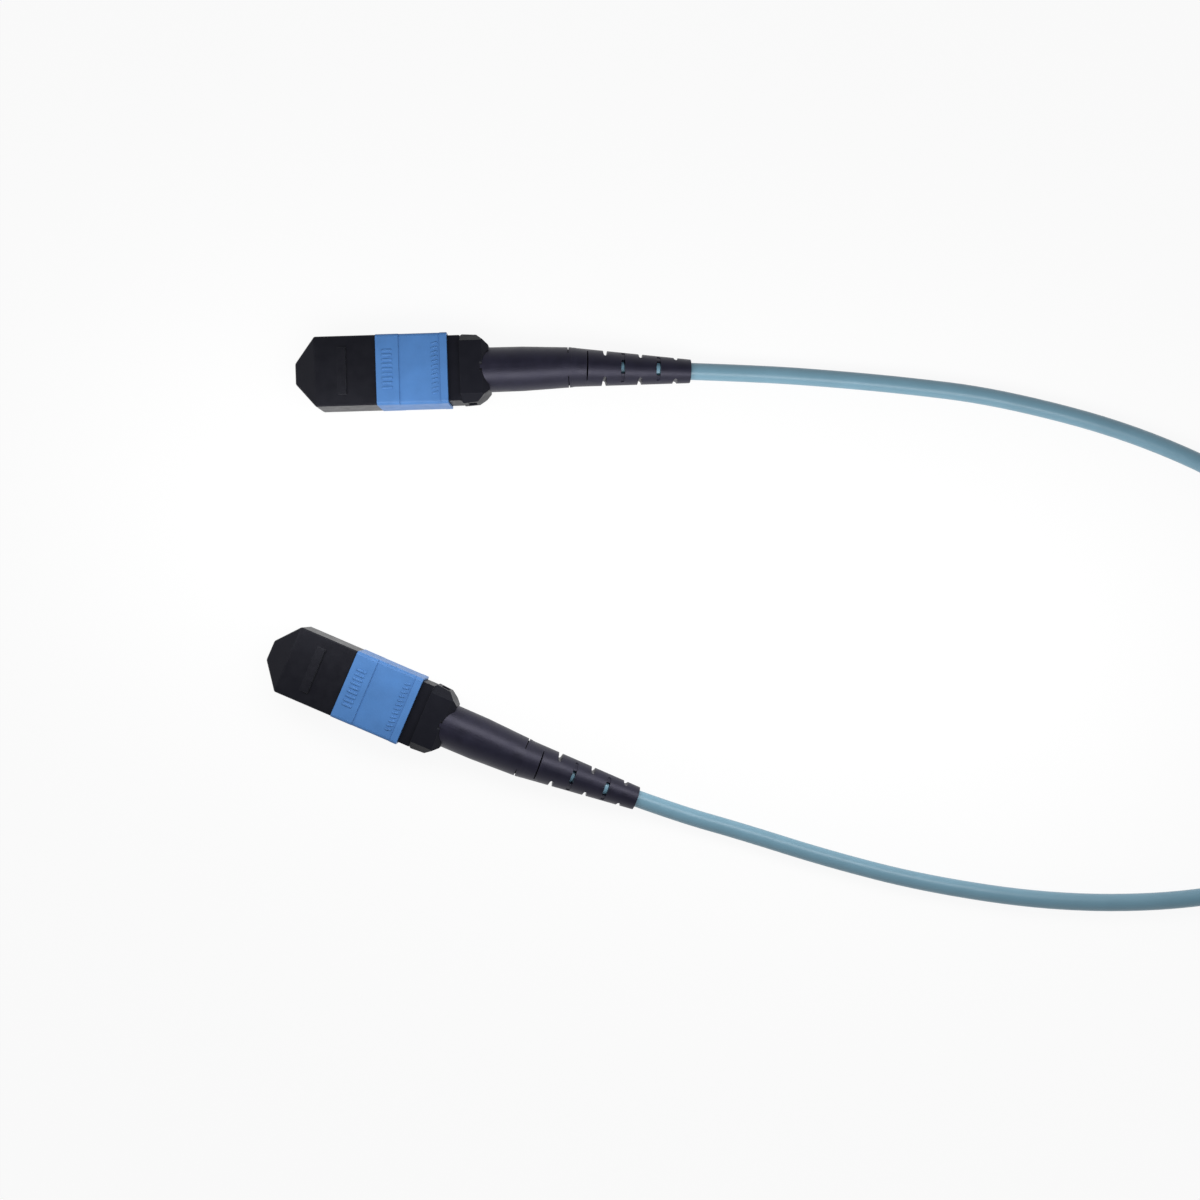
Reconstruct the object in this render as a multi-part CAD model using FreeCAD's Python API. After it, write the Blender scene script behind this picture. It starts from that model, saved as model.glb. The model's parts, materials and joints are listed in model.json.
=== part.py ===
"""MPO fibre patch cord: two multi-fibre plugs with dust caps on one round cord.

Each plug is modelled in its own frame, in millimetres: X runs along the plug from the dust
cap to the cable, X = 0 at the front end of the coupling sleeve, Y is sideways, and Z = 0 is
the underside of the sleeve. The near plug is then moved so that the origin is below the
middle of its box, and the far plug is placed beside it, at the other end of the cord.
"""
import FreeCAD
import Part
import math
import os

# ---------------------------------------------------------------- driving dimensions
# Coupling sleeve
SLEEVE_WIDTH = 12.7
SLEEVE_THICKNESS = 7.7
SLEEVE_LENGTH = 12.7
SLEEVE_BAND = 4.05          # raised band at the front
SLEEVE_RIM = 1.25           # raised rim at the back
SLEEVE_PANEL_DEPTH = 0.25   # recess of the panel between them
SLEEVE_WALL = 0.6           # side wall round the housing
SKIRT_WALL = 0.4            # thinner side wall that runs over the neck
SKIRT_LENGTH = 3.6
SLEEVE_EDGE = 0.6           # rounding of the long edges
SLEEVE_TRAVEL = 2.0

# Inner housing
NOSE_WIDTH = 9.6
NOSE_THICKNESS = 4.9
NOSE_LENGTH = 9.9           # how far it stands out of the sleeve
NOSE_CHAMFER = 0.3
KEY_WIDTH = 3.0
KEY_HEIGHT = 0.5
KEY_SETBACK = 1.5
LATCH_POCKET_START = 0.3
LATCH_POCKET_LENGTH = 1.3
LATCH_POCKET_DEPTH = 0.7
GUIDE_THICKNESS = 6.0       # the part of the housing that the sleeve slides on
NECK_LENGTH = 2.2           # between the sleeve's back end and the rear block
BLOCK_LENGTH = 5.1
BLOCK_WIDTH = 12.4
BLOCK_THICKNESS = 7.4
BLOCK_SIDE_CHAMFER = 2.15   # at the back, on each side
BLOCK_FACE_CHAMFER = 1.15   # at the back, on each wide face
BLOCK_EDGE_CHAMFER_Y = 1.45
BLOCK_EDGE_CHAMFER_Z = 1.9
BLOCK_LEAD = 0.35           # small chamfer at the front of its sides
BLOCK_DRAFT = 0.2           # how much nearer its sides are at the back
SOCKET_DEPTH = 1.6          # seat of the boot in the rear block

# Cavity of the housing, and what it holds
CAVITY_WIDTH = 7.9
CAVITY_THICKNESS = 4.0
FERRULE_WIDTH = 6.4
FERRULE_THICKNESS = 2.45
FERRULE_LENGTH = 8.0
FERRULE_STANDOUT = 1.8      # how far its face stands out of the nose
FERRULE_TRAVEL = 0.8
FLANGE_WIDTH = 7.5
FLANGE_THICKNESS = 3.4
FLANGE_LENGTH = 2.0
GUIDE_BORE_R = 0.35
GUIDE_BORE_PITCH = 4.6
FIBRE_COUNT = 12
FIBRE_PITCH = 0.25
FIBRE_HOLE_R = 0.063
FIBRE_HOLE_SIDES = 6
FIBRE_HOLE_DEPTH = 2.0
POCKET_WIDTH = 3.7          # rear pocket of the ferrule
POCKET_THICKNESS = 1.5
POCKET_DEPTH = 3.3
GLUE_WINDOW_LENGTH = 1.5    # opening over the fibres, in front of the rear pocket
GLUE_WINDOW_WALL = 0.2
KEEPER_LENGTH = 2.4
KEEPER_WIDTH = 7.2
KEEPER_THICKNESS = 3.2
BOSS_WIDTH = 5.2            # oval bosses that centre the ferrule spring
BOSS_THICKNESS = 2.0
BOSS_LENGTH = 0.6
RIBBON_WIDTH = 3.1
RIBBON_THICKNESS = 0.3
FERRULE_BOOT_EDGE = 0.25
FERRULE_SPRING_LENGTH = 9.5
FERRULE_SPRING_WIRE = 0.36
FERRULE_SPRING_WIDTH = 7.0
FERRULE_SPRING_THICKNESS = 3.5
FERRULE_SPRING_TURNS = 6

# Spring push
PUSH_ARM_THICKNESS = 0.55
PUSH_ARM_GAP = 0.35
PUSH_BRIDGE = 2.5           # solid stretch in front of the gaps beside the arms
PUSH_SLOT_LENGTH = 3.0      # passage of the ribbon, before the round one
PUSH_SLOT_HEIGHT = 1.3
WINDOW_START = 1.1          # from the front of the rear block
WINDOW_LENGTH = 1.5
WINDOW_HEIGHT = 2.7
BARB_SETBACK = 0.45         # from the housing's side
BARB_STEP = 0.5
BARB_TIP_LENGTH = 0.4
POST_D = 4.9
POST_LENGTH = 8.2
POST_BORE_D = 3.3
POST_GROOVES = 2
GROOVE_WIDTH = 0.8
GROOVE_DEPTH = 0.15

# Coupling springs
CHANNEL_START = 3.0
CHANNEL_LENGTH = 9.0
COUPLING_SPRING_D = 1.1
COUPLING_SPRING_WIRE = 0.18
COUPLING_SPRING_TURNS = 8
LUG_LENGTH = 0.8

# Crimp ring, yarn and boot
YARN_THICKNESS = 0.2
RING_WALL = 0.4
RING_NECK_LENGTH = 3.0
RING_CONE_LENGTH = 0.8
BOOT_FRONT_WIDTH = 8.05
BOOT_FRONT_HEIGHT = 7.3
BOOT_SHOULDER = 7.5         # length of the nearly straight stretch at the front
BOOT_SHOULDER_WIDTH = 7.95
BOOT_LENGTH = 37.9
BOOT_ELBOW = 16.4           # from the boot's front to where it bends
BOOT_ELBOW_D = 7.05
BOOT_END_D = 4.25
BOOT_SIDE_BEND_DEG = 2.9    # turn of the boot's tail towards the other cord
BOOT_SAG_DEG = 4.3          # turn of the boot's tail towards the surface
CABLE_BEND_R = 40.0         # radius of the cable at the elbow
SLOT_PITCH = 3.225
LAST_SLOT_TO_END = 2.75
SLOT_TAPER = 0.65           # width at the floor, as a share of that at the outside
SLOT_FLOOR_FLATS = 4        # the round floor of a slot is made of so many flats
# Half distance between the floors of each pair of slots, from front to back. The first pair
# is at the sides, the next on the faces, and so on. The low ones lay the cable bare.
SLOT_FLOORS = (2.0, 1.95, 1.88, 1.2, 1.75, 1.2, 1.67)
SLOT_WIDTHS = (0.2, 0.3, 1.0, 0.85, 1.05, 1.0, 1.2)    # of the same pairs, at the outside

# Dust cap
CAP_WIDTH = 12.5
CAP_THICKNESS = 6.9
CAP_LENGTH = 14.85
CAP_NOSE_LENGTH = 3.9
CAP_TIP_WIDTH = 3.7
CAP_TIP_THICKNESS = 3.3
CAP_GAP = 0.1               # between the cap and the sleeve
CAP_EDGE = 0.15
CAP_FERRULE_ROOM_Y = 0.25   # round the ferrule, to its sides
CAP_FERRULE_ROOM_Z = 0.4    # and to its faces
CAP_END_ROOM = 0.5          # and in front of it
GRIP_POSITION = 9.5         # the grip's step, measured from the tip
GRIP_LENGTH = 1.7
GRIP_WIDTH = 8.4

# Clearances
RUN = 0.05                  # beside what slides
FIT = 0.1                   # round what is only put in
TOUCH = 0.02                # between wires and what they wind round or bear on
BITE = 0.5                  # how far stretches of one piece run into each other
PAST = 1.0                  # how far a tool runs out of what it cuts

# Cord
CORD_D = 3.1
CORD_HEIGHT = CORD_D / 2 + 0.01
ARC_SHARE = 0.45            # how much of a run the arc at its end takes
COIL_CENTRE = (158.0, -72.0)
COIL_RADIUS = 17.0          # middle of the turns
COIL_PITCH = CORD_D + FIT   # between turns beside or on each other
COIL_TRACKS = 4             # turns beside each other
COIL_LAYERS = 2
COIL_EDGE = 0.7

# Place of the far plug: its sleeve's front end, and the turn of its axis
FAR_X, FAR_Y, FAR_TURN_DEG = -28.2, -55.75, -25.0

# ---------------------------------------------------------------- places that follow
AXIS = SLEEVE_THICKNESS / 2                              # height of the plug's axis
GUIDE_START = LATCH_POCKET_START + LATCH_POCKET_LENGTH + 0.3
NECK_END = SLEEVE_LENGTH + NECK_LENGTH
BLOCK_END = NECK_END + BLOCK_LENGTH
SOCKET_START = BLOCK_END - SOCKET_DEPTH
BOOT_START = SOCKET_START + RUN
BOOT_END = BOOT_START + BOOT_LENGTH
FERRULE_FACE = -NOSE_LENGTH - FERRULE_STANDOUT
FERRULE_END = FERRULE_FACE + FERRULE_LENGTH
FLANGE_START = FERRULE_END - FLANGE_LENGTH
CAVITY_START = FLANGE_START - RUN
KEEPER_END = FERRULE_END + KEEPER_LENGTH
PUSH_START = KEEPER_END + FERRULE_SPRING_LENGTH
POST_START = BOOT_START
POST_END = POST_START + POST_LENGTH
CHANNEL_DEPTH = SLEEVE_WIDTH / 2 - SLEEVE_WALL - COUPLING_SPRING_D - FIT
LUG_START = CHANNEL_START + FIT
CHANNEL_END = CHANNEL_START + CHANNEL_LENGTH
RING_START = BOOT_START + 1.2
RING_BODY_END = POST_END - 0.3
YARN_R = POST_D / 2 + YARN_THICKNESS
RING_R = YARN_R + RING_WALL + 2 * TOUCH
RING_NECK_R = CORD_D / 2 + RING_WALL + TOUCH
RING_NECK_START = RING_BODY_END + 0.2 + RING_CONE_LENGTH
RING_END = RING_NECK_START + RING_NECK_LENGTH
JACKET_START = POST_END + 0.1
CAP_INNER_END = FERRULE_FACE - CAP_END_ROOM


def vec(x, y, z):
    return FreeCAD.Vector(x, y, z)


# ---------------------------------------------------------------- shape helpers
def block(x0, x1, width, thickness, y=0.0, z=AXIS):
    """A box between two stations, centred sideways on y and in height on z."""
    return Part.makeBox(x1 - x0, width, thickness, vec(x0, y - width / 2, z - thickness / 2))


def rod(radius, x0, x1, y=0.0, z=AXIS):
    return Part.makeCylinder(radius, x1 - x0, vec(x0, y, z), vec(1, 0, 0))


def face_of(points):
    return Part.Face(Part.makePolygon(points + [points[0]]))


def plan_prism(points, z0, z1):
    """A closed outline in X and Y, raised from z0 to z1."""
    return face_of([vec(x, y, z0) for x, y in points]).extrude(vec(0, 0, z1 - z0))


def side_prism(points, y0, y1):
    """A closed outline in X and height above the axis, drawn out from y0 to y1."""
    return face_of([vec(x, y0, AXIS + h) for x, h in points]).extrude(vec(0, y1 - y0, 0))


def section_prism(points, x0, x1):
    """A closed outline across the plug, in Y and height above the axis, from x0 to x1."""
    return face_of([vec(x0, y, AXIS + h) for y, h in points]).extrude(vec(x1 - x0, 0, 0))


def mirrored(points):
    """An outline given on its positive side, from front to back, closed by its mirror image."""
    return points + [(x, -y) for x, y in reversed(points)]


def lengthwise(edge):
    return abs(edge.tangentAt(edge.FirstParameter).x) > 0.99


def rounded_block(x0, x1, width, thickness, radius):
    box = block(x0, x1, width, thickness)
    return box.makeFillet(radius, [e for e in box.Edges if lengthwise(e)])


def oval(width, height, x0, x1):
    """A flat-sided oval bar: two half rounds joined by flats."""
    reach = (width - height) / 2
    bar = block(x0, x1, 2 * reach, height)
    return bar.fuse([rod(height / 2, x0, x1, y=-reach), rod(height / 2, x0, x1, y=reach)]).removeSplitter()


def ring(outer, inner):
    return outer.cut(inner)


def both_sides(shape):
    """The same shape on the +Y and the -Y side of the plug."""
    return [shape, shape.mirror(vec(0, 0, 0), vec(0, 1, 0))]


def wire_sweep(points, radius, sides):
    """A round wire as a chain of straight prisms, mitred at every point of its path.

    The section at each point is carried along the run to the plane that halves the angle
    between that run and the next, so that every side of every prism is flat.
    """
    runs = [(points[i + 1] - points[i]).normalize() for i in range(len(points) - 1)]
    across = runs[0].cross(vec(1, 0, 0)).normalize()
    up = runs[0].cross(across)
    turn = 2 * math.pi / sides
    section = [points[0] + across * (radius * math.cos(turn * k)) + up * (radius * math.sin(turn * k))
               for k in range(sides)]
    faces = [face_of(section)]
    for i, run in enumerate(runs):
        normal = run if i == len(runs) - 1 else (run + runs[i + 1]).normalize()
        following = [p + run * ((points[i + 1] - p).dot(normal) / run.dot(normal)) for p in section]
        for k in range(sides):
            n = (k + 1) % sides
            faces.append(face_of([section[k], section[n], following[n], following[k]]))
        section = following
    faces.append(face_of(section))
    solid = Part.Solid(Part.Shell(faces))
    if solid.Volume < 0:
        solid.reverse()
    return solid


def coil_spring(x0, x1, width, thickness, wire, turns, steps, sides, y=0.0):
    """A compression spring along X with a flat turn at each end, oval if width and thickness differ."""
    first = x0 + wire / 2 + TOUCH
    last = x1 - wire / 2 - TOUCH
    half_y = (width - wire) / 2
    half_z = (thickness - wire) / 2
    end_pitch = wire + TOUCH
    points = []
    for i in range(turns * steps + 1):
        turn = i / steps
        if turn <= 1:
            x = first + end_pitch * turn
        elif turn >= turns - 1:
            x = last - end_pitch * (turns - turn)
        else:
            x = first + end_pitch + (last - first - 2 * end_pitch) * (turn - 1) / (turns - 2)
        angle = 2 * math.pi * turn
        points.append(vec(x, y + half_y * math.cos(angle), AXIS + half_z * math.sin(angle)))
    return wire_sweep(points, wire / 2, sides)


# ---------------------------------------------------------------- the bend of the boot
ELBOW = vec(BOOT_START + BOOT_ELBOW, 0, AXIS)


def bend_direction(side):
    """Where the boot's tail goes at the elbow, as a direction and an angle in degrees.

    side is 1 for a boot that bends to +Y and -1 for one that bends to -Y. Both sag.
    """
    towards = vec(0, side * BOOT_SIDE_BEND_DEG, -BOOT_SAG_DEG)
    angle = towards.Length
    return towards.normalize(), angle


def tail_turn(side):
    """The turn about the elbow that what lies behind it takes."""
    towards, angle = bend_direction(side)
    return FreeCAD.Placement(vec(0, 0, 0), FreeCAD.Rotation(vec(1, 0, 0).cross(towards), angle), ELBOW)


def placed(shape, placement):
    moved = shape.copy()
    moved.Placement = placement.multiply(moved.Placement)
    return moved


def bent_rod(radius, x0, x1, side):
    """A round bar that bends at the elbow: straight, then a stretch of a torus, then straight."""
    towards, angle = bend_direction(side)
    tangent = CABLE_BEND_R * math.tan(math.radians(angle / 2))
    start = ELBOW - vec(tangent, 0, 0)
    disc = Part.Face(Part.Wire(Part.makeCircle(radius, start, vec(1, 0, 0))))
    arc = disc.revolve(start + towards * CABLE_BEND_R, vec(1, 0, 0).cross(towards), angle)
    tail = placed(rod(radius, ELBOW.x + tangent, x1), tail_turn(side))
    return rod(radius, x0, start.x).fuse([arc, tail])


def oval_wire(x, width, height):
    """An upright oval across the plug at station x: two half circles joined by flats."""
    radius = height / 2
    reach = (width - height) / 2
    top = [vec(x, reach, AXIS + radius), vec(x, -reach, AXIS + radius)]
    bottom = [vec(x, -reach, AXIS - radius), vec(x, reach, AXIS - radius)]
    return Part.Wire([Part.makeLine(top[0], top[1]),
                      Part.Arc(top[1], vec(x, -width / 2, AXIS), bottom[0]).toShape(),
                      Part.makeLine(bottom[0], bottom[1]),
                      Part.Arc(bottom[1], vec(x, width / 2, AXIS), top[0]).toShape()])


def slot_cutter(width, floor, reach, sideways):
    """A pair of opposite slots with round floors, wider outside, across a bar at station 0."""
    radius = width * SLOT_TAPER / 2
    centre = floor + radius
    angles = [math.pi * k / SLOT_FLOOR_FLATS for k in range(SLOT_FLOOR_FLATS + 1)]
    bottom = [(-radius * math.cos(a), centre - radius * math.sin(a)) for a in angles]
    upper = side_prism(bottom + [(width / 2, reach), (-width / 2, reach)], -reach, reach)
    pair = Part.makeCompound([upper, upper.mirror(vec(0, 0, AXIS), vec(0, 0, 1))])
    if sideways:
        pair.rotate(vec(0, 0, AXIS), vec(1, 0, 0), 90)
    return pair


# ---------------------------------------------------------------- pieces of a plug
def dust_cap():
    tip = -CAP_LENGTH
    shoulder = tip + CAP_NOSE_LENGTH
    back = -CAP_GAP
    plan = [(tip, CAP_TIP_WIDTH / 2), (shoulder, CAP_WIDTH / 2), (back, CAP_WIDTH / 2)]
    side = [(tip, CAP_TIP_THICKNESS / 2), (shoulder, CAP_THICKNESS / 2), (back, CAP_THICKNESS / 2)]
    shell = plan_prism(mirrored(plan), 0, SLEEVE_THICKNESS)
    shell = shell.common(side_prism(mirrored(side), -CAP_WIDTH, CAP_WIDTH))
    edges = [e for e in shell.Edges if min(v.X for v in e.Vertexes) < back - FIT]
    shell = shell.makeChamfer(CAP_EDGE, edges)
    step = tip + GRIP_POSITION
    top = (SLEEVE_THICKNESS - FIT) / 2
    ramp = [(step - GRIP_LENGTH, CAP_THICKNESS / 2), (step, top), (step, CAP_THICKNESS / 2 - CAP_EDGE),
            (step - GRIP_LENGTH, CAP_THICKNESS / 2 - CAP_EDGE)]
    grip = side_prism(ramp, -GRIP_WIDTH / 2, GRIP_WIDTH / 2)
    shell = shell.fuse([grip, grip.mirror(vec(0, 0, AXIS), vec(0, 0, 1))])
    nose_room = block(-NOSE_LENGTH - FIT, PAST, NOSE_WIDTH + 2 * RUN, NOSE_THICKNESS + 2 * RUN)
    key_top = NOSE_THICKNESS / 2 + KEY_HEIGHT + RUN
    key_room = block(-NOSE_LENGTH - FIT, PAST, KEY_WIDTH + 2 * RUN, key_top, z=AXIS + key_top / 2)
    ferrule_room = block(CAP_INNER_END, -NOSE_LENGTH, FERRULE_WIDTH + 2 * CAP_FERRULE_ROOM_Y,
                         FERRULE_THICKNESS + 2 * CAP_FERRULE_ROOM_Z)
    return shell.cut([nose_room, key_room, ferrule_room]).removeSplitter()


def coupling_sleeve():
    panel_start = SLEEVE_BAND
    panel_end = SLEEVE_LENGTH - SLEEVE_RIM
    panel_thickness = SLEEVE_THICKNESS - 2 * SLEEVE_PANEL_DEPTH
    body = rounded_block(0, panel_start, SLEEVE_WIDTH, SLEEVE_THICKNESS, SLEEVE_EDGE)
    body = body.fuse([rounded_block(panel_start, panel_end, SLEEVE_WIDTH, panel_thickness, SLEEVE_EDGE),
                      rounded_block(panel_end, SLEEVE_LENGTH, SLEEVE_WIDTH, SLEEVE_THICKNESS, SLEEVE_EDGE)])
    inner_width = SLEEVE_WIDTH - 2 * SLEEVE_WALL
    inner_thickness = GUIDE_THICKNESS + 2 * RUN
    skirt_start = SLEEVE_LENGTH - SKIRT_LENGTH
    end = SLEEVE_LENGTH + PAST
    body = body.cut([block(-PAST, end, inner_width, inner_thickness),
                     block(skirt_start, end, SLEEVE_WIDTH - 2 * SKIRT_WALL, inner_thickness)])
    lug_depth = inner_width / 2 - CHANNEL_DEPTH - RUN + SLEEVE_WALL / 2
    lug_y = CHANNEL_DEPTH + RUN + lug_depth / 2
    lug = block(LUG_START, LUG_START + LUG_LENGTH, lug_depth, COUPLING_SPRING_D, y=lug_y)
    return body.fuse(both_sides(lug)).removeSplitter()


def rear_block():
    half_w = BLOCK_WIDTH / 2
    half_t = BLOCK_THICKNESS / 2
    edge_y = half_w - BLOCK_EDGE_CHAMFER_Y
    edge_h = half_t - BLOCK_EDGE_CHAMFER_Z
    octagon = mirrored([(-half_w, edge_h), (-edge_y, half_t), (edge_y, half_t), (half_w, edge_h)])
    shape = section_prism(octagon, NECK_END, BLOCK_END)
    plan = [(NECK_END, half_w - BLOCK_LEAD), (NECK_END + BLOCK_LEAD, half_w),
            (BLOCK_END - BLOCK_SIDE_CHAMFER, half_w - BLOCK_DRAFT),
            (BLOCK_END, half_w - BLOCK_SIDE_CHAMFER)]
    side = [(NECK_END, half_t), (BLOCK_END - BLOCK_FACE_CHAMFER, half_t),
            (BLOCK_END, half_t - BLOCK_FACE_CHAMFER)]
    shape = shape.common(plan_prism(mirrored(plan), 0, SLEEVE_THICKNESS))
    return shape.common(side_prism(mirrored(side), -half_w, half_w))


def inner_housing():
    nose = block(-NOSE_LENGTH, GUIDE_START, NOSE_WIDTH, NOSE_THICKNESS)
    lip = [e for e in nose.Edges if max(v.X for v in e.Vertexes) < -NOSE_LENGTH + TOUCH]
    nose = nose.makeChamfer(NOSE_CHAMFER, lip)
    key = block(-NOSE_LENGTH + KEY_SETBACK, GUIDE_START, KEY_WIDTH, KEY_HEIGHT + BITE,
                z=AXIS + (NOSE_THICKNESS + KEY_HEIGHT - BITE) / 2)
    guide_width = SLEEVE_WIDTH - 2 * SLEEVE_WALL - 2 * FIT
    neck_width = SLEEVE_WIDTH - 2 * SKIRT_WALL - 2 * FIT
    neck_start = SLEEVE_LENGTH - SKIRT_LENGTH + SLEEVE_TRAVEL + FIT
    guide = block(GUIDE_START, neck_start, guide_width, GUIDE_THICKNESS)
    neck = block(neck_start, NECK_END, neck_width, GUIDE_THICKNESS)
    housing = nose.fuse([key, guide, neck, rear_block()])
    pocket = block(LATCH_POCKET_START, GUIDE_START, LATCH_POCKET_DEPTH, NOSE_THICKNESS + 2 * PAST,
                   y=(NOSE_WIDTH - LATCH_POCKET_DEPTH) / 2)
    channel = block(CHANNEL_START, CHANNEL_END, neck_width / 2 - CHANNEL_DEPTH,
                    COUPLING_SPRING_D + 2 * FIT, y=(neck_width / 2 + CHANNEL_DEPTH) / 2)
    window = block(NECK_END + WINDOW_START, NECK_END + WINDOW_START + WINDOW_LENGTH, BLOCK_WIDTH / 2,
                   WINDOW_HEIGHT, y=CAVITY_WIDTH / 2 - BITE + BLOCK_WIDTH / 4)
    mouth = block(-NOSE_LENGTH - PAST, CAVITY_START + BITE, FERRULE_WIDTH + 2 * FIT,
                  FERRULE_THICKNESS + 2 * FIT)
    cavity = block(CAVITY_START, SOCKET_START + BITE, CAVITY_WIDTH, CAVITY_THICKNESS)
    socket = oval(BOOT_FRONT_WIDTH + 2 * RUN, BOOT_FRONT_HEIGHT + 2 * RUN, SOCKET_START, BLOCK_END + PAST)
    cuts = [mouth, cavity, socket]
    for side in (pocket, channel, window):
        cuts += both_sides(side)
    return housing.cut(cuts).removeSplitter()


def fibre_hole(y):
    """One hole of the fibre row. It is so small that a six-sided one does for a round one."""
    turn = 2 * math.pi / FIBRE_HOLE_SIDES
    outline = [(y + FIBRE_HOLE_R * math.cos(turn * k), FIBRE_HOLE_R * math.sin(turn * k))
               for k in range(FIBRE_HOLE_SIDES)]
    return section_prism(outline, FERRULE_FACE - PAST, FERRULE_FACE + FIBRE_HOLE_DEPTH)


def mt_ferrule():
    body = block(FERRULE_FACE, FERRULE_END, FERRULE_WIDTH, FERRULE_THICKNESS)
    body = body.fuse(block(FLANGE_START, FERRULE_END, FLANGE_WIDTH, FLANGE_THICKNESS)).removeSplitter()
    bore = rod(GUIDE_BORE_R, FERRULE_FACE - PAST, FERRULE_END + PAST, y=GUIDE_BORE_PITCH / 2)
    holes = [fibre_hole((i - (FIBRE_COUNT - 1) / 2) * FIBRE_PITCH) for i in range(FIBRE_COUNT)]
    pocket_start = FERRULE_END - POCKET_DEPTH
    window_end = pocket_start - GLUE_WINDOW_WALL
    window_floor = AXIS - RIBBON_THICKNESS / 2 - TOUCH
    window_height = FERRULE_THICKNESS / 2 + PAST
    pocket = block(pocket_start, FERRULE_END + PAST, POCKET_WIDTH, POCKET_THICKNESS)
    window = block(window_end - GLUE_WINDOW_LENGTH, window_end, RIBBON_WIDTH, window_height,
                   z=window_floor + window_height / 2)
    passage = block(window_end - GLUE_WINDOW_LENGTH, pocket_start + BITE, RIBBON_WIDTH + 2 * TOUCH,
                    RIBBON_THICKNESS + 2 * TOUCH)
    return body.cut(both_sides(bore) + holes + [pocket, window, passage])


def pin_keeper():
    plate = block(FERRULE_END, KEEPER_END, KEEPER_WIDTH, KEEPER_THICKNESS)
    boss = oval(BOSS_WIDTH, BOSS_THICKNESS, KEEPER_END - BITE, KEEPER_END + BOSS_LENGTH)
    hollow = block(FERRULE_END - PAST, KEEPER_END + BOSS_LENGTH + PAST, POCKET_WIDTH, POCKET_THICKNESS)
    return plate.fuse(boss).cut(hollow).removeSplitter()


def ferrule_boot():
    start = FERRULE_END - POCKET_DEPTH + FIT
    end = KEEPER_END - FIT
    body = block(start, end, POCKET_WIDTH - 2 * RUN, POCKET_THICKNESS - 2 * RUN)
    body = body.makeFillet(FERRULE_BOOT_EDGE, [e for e in body.Edges if lengthwise(e)])
    return body.cut(block(start - PAST, end + PAST, RIBBON_WIDTH + 2 * TOUCH, RIBBON_THICKNESS + 2 * TOUCH))


def fibre_ribbon():
    start = FERRULE_END - POCKET_DEPTH - GLUE_WINDOW_WALL - GLUE_WINDOW_LENGTH + FIT
    return block(start, JACKET_START - FERRULE_TRAVEL - FIT, RIBBON_WIDTH, RIBBON_THICKNESS)


def ferrule_spring():
    return coil_spring(KEEPER_END, PUSH_START, FERRULE_SPRING_WIDTH, FERRULE_SPRING_THICKNESS,
                       FERRULE_SPRING_WIRE, FERRULE_SPRING_TURNS, steps=10, sides=4)


def latch_arm():
    """The outline of an arm's barb, sloped at the front and square at the back."""
    root = CAVITY_WIDTH / 2 - RUN
    start = NECK_END + WINDOW_START + FIT
    end = NECK_END + WINDOW_START + WINDOW_LENGTH - FIT
    tip = BLOCK_WIDTH / 2 - BARB_SETBACK
    outline = [(start, root - PUSH_ARM_THICKNESS / 2), (start, root + BARB_STEP),
               (end - BARB_TIP_LENGTH, tip), (end, tip), (end, root - PUSH_ARM_THICKNESS / 2)]
    height = WINDOW_HEIGHT - 2 * FIT
    return plan_prism(outline, AXIS - height / 2, AXIS + height / 2)


def spring_push():
    width = CAVITY_WIDTH - 2 * RUN
    thickness = CAVITY_THICKNESS - 2 * RUN
    body = block(PUSH_START, POST_START, width, thickness)
    boss = oval(BOSS_WIDTH, BOSS_THICKNESS, PUSH_START - BOSS_LENGTH, PUSH_START + BITE)
    gap_y = width / 2 - PUSH_ARM_THICKNESS - PUSH_ARM_GAP / 2
    gap = block(PUSH_START + PUSH_BRIDGE, POST_START + PAST, PUSH_ARM_GAP, thickness + PAST, y=gap_y)
    body = body.fuse([boss] + both_sides(latch_arm())).cut(both_sides(gap))
    post = rod(POST_D / 2, POST_START, POST_END)
    slot_end = PUSH_START + PUSH_SLOT_LENGTH
    passage = rod(POST_BORE_D / 2, slot_end - PAST, POST_END + PAST)
    slot = block(PUSH_START - BOSS_LENGTH - PAST, slot_end, RIBBON_WIDTH + 2 * FIT, PUSH_SLOT_HEIGHT)
    groove_pitch = (POST_END - RING_START) / (POST_GROOVES + 1)
    post_core = rod(POST_D / 2 - GROOVE_DEPTH, POST_START, POST_END)
    grooves = [ring(rod(POST_D / 2 + PAST, x - GROOVE_WIDTH / 2, x + GROOVE_WIDTH / 2), post_core)
               for x in (RING_START + groove_pitch * (i + 1) for i in range(POST_GROOVES))]
    return body.fuse(post).cut([passage, slot] + grooves).removeSplitter()


def coupling_spring():
    y = CHANNEL_DEPTH + COUPLING_SPRING_D / 2 + RUN
    return coil_spring(LUG_START + LUG_LENGTH, CHANNEL_END, COUPLING_SPRING_D, COUPLING_SPRING_D,
                       COUPLING_SPRING_WIRE, COUPLING_SPRING_TURNS, steps=6, sides=4, y=y)


def aramid_yarn():
    inside = rod(POST_D / 2 + TOUCH, RING_START - PAST, POST_END + PAST)
    return ring(rod(YARN_R, RING_START, RING_BODY_END), inside)


def crimp_ring():
    """A stepped tube: wide over the yarn, coned down and narrow over the jacket."""
    inner = YARN_R + TOUCH
    neck_inner = CORD_D / 2 + TOUCH
    cone_start = RING_NECK_START - RING_CONE_LENGTH
    slant = RING_WALL / 2   # how much later the cone comes outside than inside
    outline = [(RING_START, inner), (RING_START, RING_R), (cone_start + slant, RING_R),
               (RING_NECK_START + slant, RING_NECK_R), (RING_END, RING_NECK_R), (RING_END, neck_inner),
               (RING_NECK_START, neck_inner), (cone_start, inner)]
    profile = face_of([vec(x, 0, AXIS + r) for x, r in outline])
    return profile.revolve(vec(0, 0, AXIS), vec(1, 0, 0), 360)


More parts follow.
